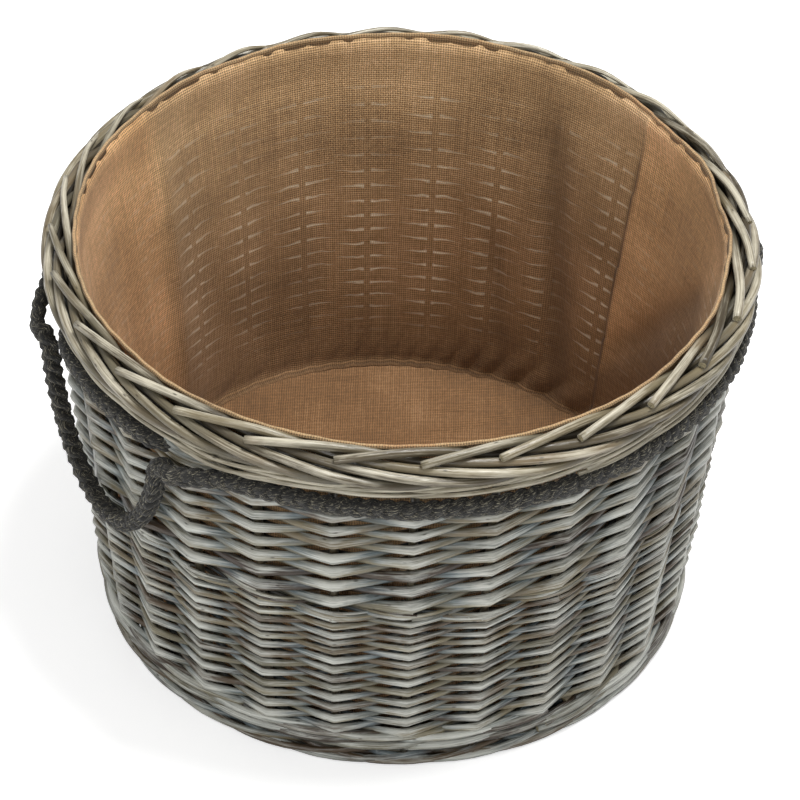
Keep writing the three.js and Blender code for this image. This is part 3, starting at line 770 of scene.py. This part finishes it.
# %% Base
made = []
rods = random.Random(8)
base_middle = 0.0123 + 0.0189 / 2
ring_radius = 0.0300
count = 0
while ring_radius < 0.2225:
    route = []
    thick = 0.0058
    for i in range(65):
        s = i / 4
        over = math.cos(math.pi * s + math.pi * (count % 2))
        z = base_middle + over * 0.0058
        route.append(polar(math.radians(11.25) + s * math.pi / 8, ring_radius + 0.0004 * math.sin(5 * s + count), z))
    route[-1] = route[0].copy()
    places = stations(route, lambda i: thick, lambda i: thick * 1.06, Vector((0, 0, 1)))
    made.append(grow_rod(places, 6, rods.random(), lambda i: 0.6, grain_start=count, cut=0))
    ring_radius += 0.0060
    count += 1
gather("base_rods", made, [base_willow], ["base_weave"])
print("base rounds", count)

stick_skin, tree = new_material("willow_stick_bark")
spot = node(tree, "ShaderNodeTexCoord")
fibre = node(tree, "ShaderNodeTexNoise", {"Vector": spot.outputs["Object"], "Scale": 260, "Detail": 5,
                                          "Roughness": 0.65})
wood = ramp(tree, fibre.outputs["Fac"], [(0.3, "#5c5344"), (0.5, "#7f735c"), (0.7, "#9b8f76")])
bump = node(tree, "ShaderNodeBump", {"Height": fibre.outputs["Fac"], "Strength": 0.5, "Distance": 0.0006})
skin = node(tree, "ShaderNodeBsdfPrincipled", {"Base Color": wood.outputs["Color"], "Roughness": 0.65,
                                               "Normal": bump.outputs[0]})
node(tree, "ShaderNodeOutputMaterial", {"Surface": skin.outputs[0]})
for i in range(1, 9):
    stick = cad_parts[f"base_stick_{i}"]
    stick.data.materials.clear()
    stick.data.materials.append(stick_skin)

# %% [markdown]
# The lining is brown hessian, a plain weave of coarse jute yarn. On the real basket the yarns are
# some 1.5 mm apart, and they are drawn 2 mm apart here, so that they show in the picture. Jute is
# matt and slightly fuzzy, light passes through it, and the yarns are uneven in thickness and
# colour, which gives the cloth its streaks along both threads. An image could carry the weave, but
# two crossed waves with their own height follow the threads and need no picture.

# %% Hessian finish
CLOTH_TURN = 0.2475


def hessian_cloth(name, yarn_pitch, light, dark, daylight=False):
    """Cloth whose 'grain' attribute holds its flat place in metres: x along the weft, y along the warp."""
    material, tree = new_material(name)
    grain = node(tree, "ShaderNodeAttribute", attribute_name="grain")
    parts = node(tree, "ShaderNodeSeparateXYZ", {"Vector": grain.outputs["Vector"]})
    wobble = node(tree, "ShaderNodeTexNoise", {"Vector": grain.outputs["Vector"], "Scale": 60, "Detail": 2})
    waves = []
    for axis in ("X", "Y"):
        shifted = node(tree, "ShaderNodeMath", {0: wobble.outputs["Fac"], 1: 0.0016, 2: parts.outputs[axis]},
                       operation="MULTIPLY_ADD")
        turned = node(tree, "ShaderNodeMath", {0: shifted.outputs[0], 1: math.pi / yarn_pitch},
                      operation="MULTIPLY")
        waves.append(node(tree, "ShaderNodeMath", {0: turned.outputs[0]}, operation="SINE"))
    # the sign of the product says which yarn lies on top at a crossing, as on a chessboard
    product = node(tree, "ShaderNodeMath", {0: waves[0].outputs[0], 1: waves[1].outputs[0]}, operation="MULTIPLY")
    yarn_heights = []
    for wave, lift in zip(waves, (0.4, -0.4)):
        size = node(tree, "ShaderNodeMath", {0: wave.outputs[0]}, operation="ABSOLUTE")
        raised = node(tree, "ShaderNodeMath", {0: product.outputs[0], 1: lift, 2: 1.0}, operation="MULTIPLY_ADD")
        yarn_heights.append(node(tree, "ShaderNodeMath", {0: size.outputs[0], 1: raised.outputs[0]},
                                 operation="MULTIPLY"))
    lowest = node(tree, "ShaderNodeMath", {0: yarn_heights[0].outputs[0], 1: yarn_heights[1].outputs[0]},
                  operation="MAXIMUM")
    streaks = []
    for scale in ((9, 650, 1), (650, 9, 1)):
        place = node(tree, "ShaderNodeVectorMath", {0: grain.outputs["Vector"], 1: scale}, operation="MULTIPLY")
        streaks.append(node(tree, "ShaderNodeTexNoise", {"Vector": place.outputs[0], "Scale": 1, "Detail": 3,
                                                         "Roughness": 0.6}))
    streak = node(tree, "ShaderNodeMath", {0: streaks[0].outputs["Fac"], 1: streaks[1].outputs["Fac"]},
                  operation="ADD")
    # thick and thin places in the yarn, some 4 mm long, over wide pale and dark clouds
    slubs = node(tree, "ShaderNodeTexNoise", {"Vector": grain.outputs["Vector"], "Scale": 260, "Detail": 2})
    cloud = node(tree, "ShaderNodeTexNoise", {"Vector": grain.outputs["Vector"], "Scale": 9, "Detail": 4,
                                              "Roughness": 0.6})
    cloud = node(tree, "ShaderNodeMath", {0: slubs.outputs["Fac"], 1: 0.45, 2: cloud.outputs["Fac"]},
                 operation="MULTIPLY_ADD")
    amount = node(tree, "ShaderNodeMath", {0: streak.outputs[0], 1: 0.5, 2: cloud.outputs[0]},
                  operation="MULTIPLY_ADD")
    tint = node(tree, "ShaderNodeMapRange", {"Value": amount.outputs[0], "From Min": 0.92, "From Max": 1.52})
    jute = ramp(tree, tint.outputs[0], [(0.0, dark), (0.5, light), (1.0, "#b48b62")])
    holes = node(tree, "ShaderNodeMapRange", {"Value": lowest.outputs[0], "From Min": 0.45, "From Max": 1.2,
                                              "To Min": 0.34, "To Max": 1.16})
    woven = node(tree, "ShaderNodeMix", {"Factor": 1.0, 6: jute.outputs["Color"], 7: holes.outputs[0]},
                 data_type="RGBA", blend_type="MULTIPLY")
    # painted shade in the seams, sharp creases and folds, and in a band just above the floor
    seam_and_fold_shade = node(tree, "ShaderNodeAttribute", attribute_name="wear_and_shade")
    woven = node(tree, "ShaderNodeMix", {"Factor": seam_and_fold_shade.outputs["Fac"], 6: woven.outputs[2], 7: srgb("#3f2814")},
                 data_type="RGBA")
    # painted light: the cloth is made paler right of the side seam and left of the crease
    painted_light_zones = node(tree, "ShaderNodeAttribute", attribute_name="tone")
    layers = node(tree, "ShaderNodeMapRange", {"Value": painted_light_zones.outputs["Fac"], "To Min": 1.0, "To Max": 1.95})
    woven = node(tree, "ShaderNodeMix", {"Factor": 1.0, 6: woven.outputs[2], 7: layers.outputs[0]},
                 data_type="RGBA", blend_type="MULTIPLY")
    # painted light: the cloth is made paler towards the top and on the left
    light_gradient = node(tree, "ShaderNodeAttribute", attribute_name="light_gradient")
    light_gradient_tint = node(tree, "ShaderNodeMix", {"Factor": light_gradient.outputs["Fac"], 6: (1, 1, 1, 1), 7: (2.3, 2.75, 3.3, 1)},
                  data_type="RGBA")
    woven = node(tree, "ShaderNodeMix", {"Factor": 1.0, 6: woven.outputs[2], 7: light_gradient_tint.outputs[2]},
                 data_type="RGBA", blend_type="MULTIPLY")
    color = woven.outputs[2]
    if daylight:
        # painted daylight: beside each stake the gaps between the rods let light through, painted as a
        # pale wedge for each gap, widest at the stake, and a half step higher at every second stake
        columns = node(tree, "ShaderNodeMath", {0: parts.outputs["X"], 1: 1 / (PITCH * CLOTH_TURN), 2: 0.2},
                       operation="MULTIPLY_ADD")
        aside = node(tree, "ShaderNodeMath", {0: columns.outputs[0], 1: 0.5}, operation="PINGPONG")
        nearest = node(tree, "ShaderNodeMath", {0: columns.outputs[0]}, operation="ROUND")
        ragged = node(tree, "ShaderNodeTexNoise", {"Vector": grain.outputs["Vector"], "Scale": 55, "Detail": 2})
        # the rows are 13 mm apart low on the wall and 17 mm near the top, as the rods behind are
        apart = node(tree, "ShaderNodeMath", {0: parts.outputs["Y"], 1: -46.6, 2: 87.5}, operation="MULTIPLY_ADD")
        rows = node(tree, "ShaderNodeMath", {0: parts.outputs["Y"], 1: apart.outputs[0]}, operation="MULTIPLY")
        rows = node(tree, "ShaderNodeMath", {0: ragged.outputs["Fac"], 1: 0.4, 2: rows.outputs[0]},
                    operation="MULTIPLY_ADD")
        rows = node(tree, "ShaderNodeMath", {0: nearest.outputs[0], 1: 0.5, 2: rows.outputs[0]},
                    operation="MULTIPLY_ADD")
        row = node(tree, "ShaderNodeMath", {0: rows.outputs[0], 1: 0.5}, operation="PINGPONG")
        uneven = node(tree, "ShaderNodeTexNoise", {"Vector": grain.outputs["Vector"], "Scale": 38, "Detail": 2})
        spread = node(tree, "ShaderNodeMath", {0: uneven.outputs["Fac"], 1: 0.5, 2: aside.outputs[0]},
                      operation="MULTIPLY_ADD")
        half_height = node(tree, "ShaderNodeMapRange", {"Value": spread.outputs[0], "From Min": 0.27,
                                                        "From Max": 0.72, "To Min": 0.13, "To Max": 0})
        clear = node(tree, "ShaderNodeMapRange", {"Value": aside.outputs[0], "From Min": 0.045, "From Max": 0.06})
        level = node(tree, "ShaderNodeMath", {0: row.outputs[0], 1: half_height.outputs[0]}, operation="ADD")
        tall = node(tree, "ShaderNodeMapRange", {"Value": level.outputs[0], "From Min": 0.475, "From Max": 0.58})
        bar = node(tree, "ShaderNodeMath", {0: clear.outputs[0], 1: tall.outputs[0]}, operation="MULTIPLY")
        thin = node(tree, "ShaderNodeTexNoise", {"Vector": grain.outputs["Vector"], "Scale": 9, "Detail": 2})
        some = node(tree, "ShaderNodeMapRange", {"Value": thin.outputs["Fac"], "From Min": 0.22, "From Max": 0.56})
        low = node(tree, "ShaderNodeMapRange", {"Value": parts.outputs["Y"], "From Min": 0.06, "From Max": 0.1})
        high = node(tree, "ShaderNodeMapRange", {"Value": parts.outputs["Y"], "From Min": 0.318, "From Max": 0.305})
        # fewer bars show where painted light makes the cloth paler
        outside_painted_light = node(tree, "ShaderNodeMapRange", {"Value": painted_light_zones.outputs["Fac"], "From Max": 0.5, "To Min": 1.0,
                                                   "To Max": 0.3})
        through_holes = node(tree, "ShaderNodeMapRange", {"Value": lowest.outputs[0], "From Min": 0.5,
                                                          "From Max": 1.3, "To Min": 0.95, "To Max": 0.26})
        # little of it shows in a fold, for the cloth stands off the wall there or lies in shade
        flat = node(tree, "ShaderNodeMapRange", {"Value": seam_and_fold_shade.outputs["Fac"], "From Max": 0.28, "To Min": 1.0,
                                                 "To Max": 0.12})
        for limit in (some, low, high, outside_painted_light, flat, through_holes):
            bar = node(tree, "ShaderNodeMath", {0: bar.outputs[0], 1: limit.outputs[0]}, operation="MULTIPLY")
        color = node(tree, "ShaderNodeMix", {"Factor": bar.outputs[0], 6: color, 7: srgb("#e9dcc3")},
                     data_type="RGBA").outputs[2]
    bump = node(tree, "ShaderNodeBump", {"Height": lowest.outputs[0], "Strength": 0.6, "Distance": 0.0007})
    skin = node(tree, "ShaderNodeBsdfPrincipled", {"Base Color": color, "Roughness": 0.92,
                                                   "Sheen Weight": 0.1, "Sheen Roughness": 0.5,
                                                   "Normal": bump.outputs[0]})
    shine_through = node(tree, "ShaderNodeBsdfTranslucent", {"Color": color})
    thin_cloth = node(tree, "ShaderNodeMixShader", {0: 0.15, 1: skin.outputs[0], 2: shine_through.outputs[0]})
    node(tree, "ShaderNodeOutputMaterial", {"Surface": thin_cloth.outputs[0]})
    return material


hessian = hessian_cloth("brown_jute_hessian", 0.0020, "#96714a", "#765636", daylight=True)
floor_hessian = hessian_cloth("brown_jute_floor_hessian", 0.0020, "#966f48", "#795939")
hem_cloth = hessian_cloth("light_jute_hem", 0.0020, "#b99c74", "#a08260")

# %% [markdown]
# The lining's wall is one piece of cloth sewn into a cone, with a turned-over hem inside the
# border, and its floor is a round piece sewn to the wall. A cloth simulation could drape it, but it
# hangs almost still, so a line of points up the wall is spun round the axis and then gets the shape
# of sewn cloth: pushed in by the stakes, loose in a few soft folds beside the side seam, and
# wrinkled where it meets the floor. The grain attribute keeps the flat place of the threads, so the
# weave follows the cloth.

# %% Lining
LINING_BOTTOM = 0.0315
LINING_TOP = 0.3575
CLOTH_THICKNESS = 0.0012
SEAM = math.radians(39.8)
CREASE = math.radians(143)


def cloth_radius(z):
    """The cone of the cloth's outer face: clear of the weave, upright inside the border, then out over its rods."""
    return min(wall_radius(z) - 0.0114, 0.2594) + 0.5 * max(0.0, z - 0.3505)


def turn_apart(angle, other):
    return (angle - other + math.pi) % (2 * math.pi) - math.pi


# upright and slanting folds: angle at the top and at the floor, half width, depth, lower and upper end
FOLDS = [(62, 52, 3.6, 1.0, -0.2, 0.92), (77, 66, 3.0, 0.6, -0.2, 0.55), (-7, 54, 4.6, 1.0, 0.2, 0.8),
         (104, 112, 3.4, 0.45, -0.2, 0.5), (20, 33, 2.6, 0.5, -0.2, 0.3)]


def fold_depth(angle, share):
    """How deep a place lies in one of the soft folds that the slack cloth makes beside the seam, 0 to 1."""
    depth = 0.0
    for top, foot, width, strength, low, high in FOLDS:
        line = math.radians(foot + (top - foot) * share)
        ends = min(1.0, max(0.0, (share - low) / 0.14)) * min(1.0, max(0.0, (high - share) / 0.14))
        depth = max(depth, strength * ends * math.exp(-(turn_apart(angle, line) / math.radians(width)) ** 2))
    return depth


def folds(angle, radius, z):
    """How far the wall cloth stands in (negative) from its cone at a place."""
    share = min(1.0, max(0.0, (z - LINING_BOTTOM) / (LINING_TOP - LINING_BOTTOM)))
    slack = math.sin(math.pi * share) ** 0.7
    wave = 0.0016 * math.sin(5 * angle + 1.3 + share) + 0.0010 * math.sin(11 * angle + 5 * share)
    stakes = 0.0006 * math.cos(STAKES * (angle - FIRST_STAKE))
    # the cloth is drawn straight across between two ridges, left of the back
    ridge = 0.0075 * math.exp(-abs(turn_apart(angle, CREASE)) / 0.13) * slack
    # where the cloth has slack it stands in, and falls back to the wicker in each fold
    slack_here = math.exp(-(turn_apart(angle, math.radians(58)) / 0.75) ** 2)
    drape = 0.0058 * slack_here * (1 - fold_depth(angle, share))
    # the side seam: one edge laps over the other and stands in
    past_seam = turn_apart(SEAM + 0.05 * (0.6 - share), angle)
    lap = 0.0045 * math.exp(-max(0.0, past_seam) / 0.11) if past_seam > 0 else 0.0
    lap *= min(1.0, 6 * (1 - share) + 0.15)
    # gathers where the wall is sewn to the floor, strongest at the right
    pinch = math.exp(-((share - 0.03) / 0.07) ** 2)
    gather_here = 0.35 + 0.65 * math.exp(-(turn_apart(angle, math.radians(58)) / 0.35) ** 2)
    crease = 0.0042 * pinch * gather_here * math.sin(31 * angle + 3 * math.sin(4 * angle) + 26 * share)
    # the hem's edge waves in between the stitches that hold it to the border
    edge = max(0.0, (share - 0.93) / 0.07)
    scallop = 0.5 - 0.5 * math.cos(13 * angle + 1.9 * math.sin(3 * angle))
    loose_edge = 0.0010 + 0.0034 * math.exp(-(turn_apart(angle, math.radians(24)) / 0.5) ** 2)
    return -(0.0026 + wave + stakes + drape) * slack - ridge - lap - abs(crease) - edge ** 1.5 * loose_edge * scallop


def seam_shade(angle, radius, z):
    """How much painted shade a place gets: the side seam, the line where wall meets floor, a band above the floor, the
    folds and the cloth under the slanting fold.
    """
    share = (z - LINING_BOTTOM) / (LINING_TOP - LINING_BOTTOM)
    past_seam = turn_apart(SEAM + 0.05 * (0.6 - share), angle)
    side = 0.9 * math.exp(-(past_seam / 0.012) ** 2) * min(1.0, max(0.0, 8 * (0.97 - share)))
    floor_seam = 0.55 * math.exp(-((z - 0.0345) / 0.0022) ** 2)
    above_floor = 0.26 * math.exp(-max(0.0, share - 0.05) / 0.10)
    under_fold = max(0.0, min(1.0, 0.5 - (share - (54 - math.degrees(angle)) / 61) / 0.12))
    under_fold *= max(0.0, min(1.0, past_seam / 0.02)) * max(0.0, min(1.0, 1.5 - past_seam / 0.5))
    return max(side, floor_seam, above_floor, 0.42 * fold_depth(angle, share), 0.3 * under_fold)


def painted_light_zones(angle, radius, z):
    """How much painted light makes the cloth paler, 0 to 1: from the side seam to the right, and left of the crease."""
    share = (z - LINING_BOTTOM) / (LINING_TOP - LINING_BOTTOM)
    past_seam = -turn_apart(SEAM + 0.05 * (0.6 - share), angle)
    past_crease = turn_apart(angle, CREASE)
    right = max(0.0, min(1.0, past_seam / -0.006)) * max(0.0, min(1.0, 1.4 + past_seam / 1.1))
    # under the slanting fold most of this painted light ends
    right *= 0.12 + 0.88 * max(0.0, min(1.0, 0.5 + (share - (54 - math.degrees(angle)) / 61) / 0.12))
    left = max(0.0, min(1.0, past_crease / 0.09)) * max(0.0, min(1.0, (1.9 - past_crease) / 1.2))
    return max(0.8 * right if past_seam < 0 else 0.0, left)


def painted_light_gradient(angle, radius, z):
    """How much painted light makes the cloth paler: most at the top and on the left, little where the other painted
    light lies.
    """
    share = (z - LINING_BOTTOM) / (LINING_TOP - LINING_BOTTOM)
    high = max(0.0, min(1.0, (share - 0.42) / 0.56)) ** 1.4
    left = max(0.0, min(1.0, turn_apart(angle, math.radians(75)) / 0.95))
    return min(1.0, high + 0.35 * left * (0.5 + 0.5 * share)) * (1 - 0.7 * painted_light_zones(angle, radius, z))


def sinking(angle, radius, z):
    """The hem is pulled down at the front and stands higher at the back."""
    share = min(1.0, max(0.0, (z - LINING_BOTTOM) / (LINING_TOP - LINING_BOTTOM)))
    return 0.0022 * math.sin(angle) * share ** 3


def spun_cloth(name, profile, steps, shift, flat_of, settle=None, shade=None):
    """Spins a closed profile of (radius, z) into a shell, then gives it folds and thread places, and with a shade its
    painted shade and painted light.
    """
    cloth = bmesh.new()
    threads = cloth.verts.layers.float_vector.new("grain")
    layers = cloth.verts.layers.float.new("tone")
    dark = cloth.verts.layers.float.new("wear_and_shade")
    pale = cloth.verts.layers.float.new("light_gradient")
    verts = [cloth.verts.new((radius, 0, z)) for radius, z in profile]
    edges = [cloth.edges.new((a, b)) for a, b in zip(verts, verts[1:] + verts[:1])]
    bmesh.ops.spin(cloth, geom=verts + edges, cent=(0, 0, 0), axis=(0, 0, 1), dvec=(0, 0, 0),
                   angle=2 * math.pi, steps=steps, use_merge=True)
    bmesh.ops.remove_doubles(cloth, verts=cloth.verts, dist=1e-6)
    bmesh.ops.recalc_face_normals(cloth, faces=cloth.faces)
    for vert in cloth.verts:
        radius = math.hypot(vert.co.x, vert.co.y)
        angle = math.atan2(vert.co.y, vert.co.x)
        vert[threads] = Vector(flat_of(angle, radius, vert.co.z))
        # painted shade in the seams and folds, and painted light that makes parts of the cloth paler
        vert[dark] = shade(angle, radius, vert.co.z) if shade else 0.0
        vert[layers] = painted_light_zones(angle, radius, vert.co.z) if shade else 0.0
        vert[pale] = painted_light_gradient(angle, radius, vert.co.z) if shade else 0.0
        if radius > 1e-6:
            scale = 1 + shift(angle, radius, vert.co.z) / radius
            vert.co.x *= scale
            vert.co.y *= scale
        if settle:
            vert.co.z += settle(angle, radius, vert.co.z)
    for face in cloth.faces:
        face.smooth = True
    mesh = bpy.data.meshes.new(name)
    cloth.to_mesh(mesh)
    cloth.free()
    return mesh


rows = 72
heights = [0.0375 + (LINING_TOP - 0.0375) * i / rows for i in range(rows + 1)]
outer = [(0.2205, 0.0330), (0.2235, 0.0332), (0.2258, 0.0345), (cloth_radius(0.0365) - 0.0008, 0.0365)]
outer += [(cloth_radius(z), z) for z in heights]
inner = [(r - CLOTH_THICKNESS, z) for r, z in reversed(outer[3:])]
inner += [(0.2248, 0.0355), (0.2230, 0.0344), (0.2205, 0.0342)]
mesh = spun_cloth("lining_wall_cloth", outer + inner, 540, folds,
                  lambda angle, radius, z: ((angle + math.pi) * CLOTH_TURN, z * 1.0063, 0), sinking, seam_shade)
wall_cloth = gather("hessian_wall", [mesh], [hessian], ["lining_wall"])

# the hem: the cloth turned over at the top, a second layer with a rolled, paler edge
HEM_RADIUS = cloth_radius(LINING_TOP) - CLOTH_THICKNESS / 2
edge_ring = [(HEM_RADIUS + 0.0017 * math.cos(a), LINING_TOP + 0.0008 + 0.0019 * math.sin(a))
             for a in (math.radians(25 * i - 40) for i in range(12))]
hem_profile = edge_ring + [(HEM_RADIUS - 0.0022, LINING_TOP - 0.0036), (HEM_RADIUS - 0.0014, LINING_TOP - 0.0038)]
top_folds = lambda angle, radius, z: folds(angle, radius, max(z, LINING_TOP - 0.004)) + 0.00025 * math.sin(67 * angle)
mesh = spun_cloth("lining_hem_cloth", hem_profile, 540, top_folds,
                  lambda angle, radius, z: ((angle + math.pi) * CLOTH_TURN, z, 0),
                  lambda angle, radius, z: sinking(angle, radius, z) + 0.0006 * math.sin(13 * angle + 2))
hem = gather("hessian_hem", [mesh], [hem_cloth])

floor_profile = [(0.0, LINING_BOTTOM), (0.2245, LINING_BOTTOM), (0.2256, LINING_BOTTOM + 0.0008),
                 (0.2245, LINING_BOTTOM + CLOTH_THICKNESS)]
floor_profile += [(0.2245 * (1 - i / 40), LINING_BOTTOM + CLOTH_THICKNESS) for i in range(1, 40)]
floor_profile += [(0.0, LINING_BOTTOM + CLOTH_THICKNESS)]


def floor_rise(angle, radius, z):
    """Soft wrinkles of the floor cloth, which the base below keeps from sinking."""
    if z < LINING_BOTTOM + 0.0006 or radius > 0.222:
        return 0.0
    x, y = radius * math.cos(angle), radius * math.sin(angle)
    wrinkle = math.sin(46 * x + 9 * math.sin(17 * y)) * math.exp(-((x - 0.08) ** 2 + (y - 0.15) ** 2) / 0.006)
    return 0.0006 + 0.0006 * math.sin(31 * x + 2) * math.sin(27 * y) + 0.0013 * abs(wrinkle)


mesh = spun_cloth("lining_floor_cloth", floor_profile, 240, lambda angle, radius, z: 0,
                  lambda angle, radius, z: (radius * math.cos(angle), radius * math.sin(angle), 0), floor_rise)
floor_cloth = gather("hessian_floor", [mesh], [floor_hessian], ["lining_floor"])

# %% [markdown]
# The studio is plain: a pale floor, a soft lamp high on the right, which makes the inside left of
# the basket the brightest, as in the photograph, a small one low on the left, and a dim white world
# that fills the shadows. The floor looks white to the camera and still takes the basket's shadow.

# %% Floor, light and view
floor_mesh = bmesh.new()
bmesh.ops.create_grid(floor_mesh, x_segments=8, y_segments=8, size=4)
data = bpy.data.meshes.new("studio_floor")
floor_mesh.to_mesh(data)
floor_mesh.free()
floor = bpy.data.objects.new("studio_floor", data)
bpy.context.scene.collection.objects.link(floor)
paper, tree = new_material("white_paper_floor")
seen = node(tree, "ShaderNodeLightPath")
matt = node(tree, "ShaderNodeBsdfDiffuse", {"Color": (0.9, 0.9, 0.9, 1)})
glow = node(tree, "ShaderNodeEmission", {"Color": (1, 1, 1, 1), "Strength": 0.52})
lit = node(tree, "ShaderNodeAddShader", {0: matt.outputs[0], 1: glow.outputs[0]})
direct = node(tree, "ShaderNodeMixShader", {0: seen.outputs["Is Camera Ray"], 1: matt.outputs[0], 2: lit.outputs[0]})
node(tree, "ShaderNodeOutputMaterial", {"Surface": direct.outputs[0]})
data.materials.append(paper)

world = bpy.data.worlds.new("studio")
bpy.context.scene.world = world
world.use_nodes = True
world.node_tree.nodes["Background"].inputs["Color"].default_value = (1, 1, 1, 1)
world.node_tree.nodes["Background"].inputs["Strength"].default_value = 0.44
# past the floor's edge the camera sees plain white too
white = node(world.node_tree, "ShaderNodeBackground", {"Color": (1, 1, 1, 1), "Strength": 1.0})
to_camera = node(world.node_tree, "ShaderNodeLightPath")
sky = node(world.node_tree, "ShaderNodeMixShader", {0: to_camera.outputs["Is Camera Ray"],
                                                    1: world.node_tree.nodes["Background"].outputs[0],
                                                    2: white.outputs[0]})
world.node_tree.links.new(sky.outputs[0], world.node_tree.nodes["World Output"].inputs["Surface"])


def softbox(name, place, aim, size, power):
    lamp = bpy.data.lights.new(name, "AREA")
    lamp.shape = "DISK"
    lamp.size = size
    lamp.energy = power
    holder = bpy.data.objects.new(name, lamp)
    holder.location = place
    holder.rotation_euler = (Vector(aim) - Vector(place)).to_track_quat("-Z", "Y").to_euler()
    bpy.context.scene.collection.objects.link(holder)


softbox("key_softbox", (0.82, 0.0, 4.4), (0, 0, 0.2), 1.4, 180)
softbox("left_softbox", (-1.0, -2.1, 1.7), (0, 0, 0.2), 0.6, 16)
bpy.context.scene.view_settings.view_transform = "Standard"
